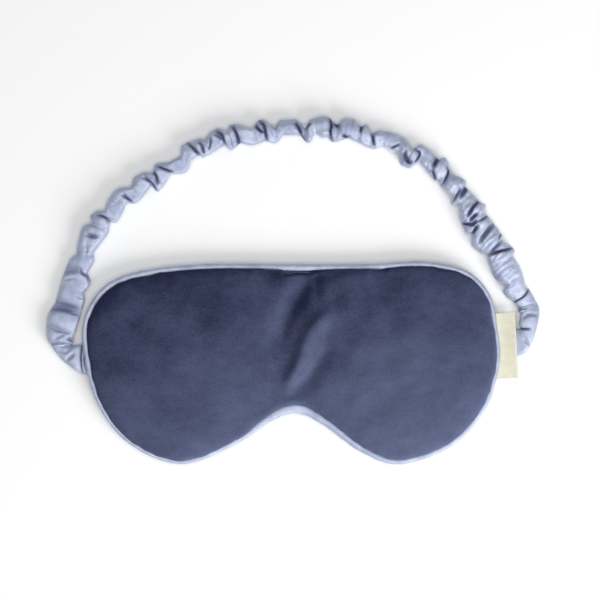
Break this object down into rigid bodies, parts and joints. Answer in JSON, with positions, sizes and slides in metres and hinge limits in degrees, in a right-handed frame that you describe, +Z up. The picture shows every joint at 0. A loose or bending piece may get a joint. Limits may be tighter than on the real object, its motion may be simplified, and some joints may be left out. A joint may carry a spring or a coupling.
{
  "type": "eye mask",
  "caption": "Padded velvet eye mask with a nose notch, piped satin edge, woven side label and a ruched satin elastic strap that swings and stretches round the head.",
  "frame": {"origin": "on the resting surface, on the flat back of the pad, under the middle of the pad's width and height", "axes": "+X to the right along the pad's width, +Y from the nose notch towards the forehead edge and the strap's arch, +Z up out of the velvet front"},
  "size_m": [0.2482, 0.1733, 0.014],
  "materials": {
    "velvet": "matte, short pile",
    "satin": "satin sheen",
    "satin_back": "satin sheen",
    "wadding": "matte",
    "blackout": "matte",
    "piping_filler": "matte",
    "thread": "matte",
    "woven_label": "matte",
    "elastic": "matte"
  },
  "bodies": {
    "mask": {"front_cover": "velvet", "back_cover": "satin_back", "front_wadding": "wadding", "back_wadding": "wadding", "blackout_lining": "blackout", "piping_cover": "satin", "piping_cord": "piping_filler", "seam_thread": "thread", "closing_stitches": "thread", "label_tail": "woven_label", "strap_end_left": "satin", "strap_end_right": "satin", "elastic_end_left": "elastic", "elastic_end_right": "elastic", "bar_tack_left": "thread", "bar_tack_right": "thread"},
    "strap": {"sleeve_left": "satin", "sleeve_right": "satin", "elastic_left": "elastic", "elastic_right": "elastic"},
    "strap_crown": {"sleeve_crown": "satin", "elastic_crown": "elastic"},
    "label": {"label": "woven_label"}
  },
  "joints": [
    {"name": "strap_swing", "type": "hinge", "parent": "mask", "child": "strap", "pos_m": [0.0005, 0.006, 0.0037], "axis": [0.9993, 0.0384, 0], "range_deg": [-180, 180]},
    {"name": "strap_stretch", "type": "slide", "parent": "strap", "child": "strap_crown", "axis": [0, 1, 0], "range_m": [0, 0.08], "stiffness_N_per_m": 50},
    {"name": "label_flip", "type": "hinge", "parent": "mask", "child": "label", "pos_m": [0.1049, 0.0085, 0.00465], "axis": [0.0436, -0.999, 0], "range_deg": [0, 95]}
  ]
}
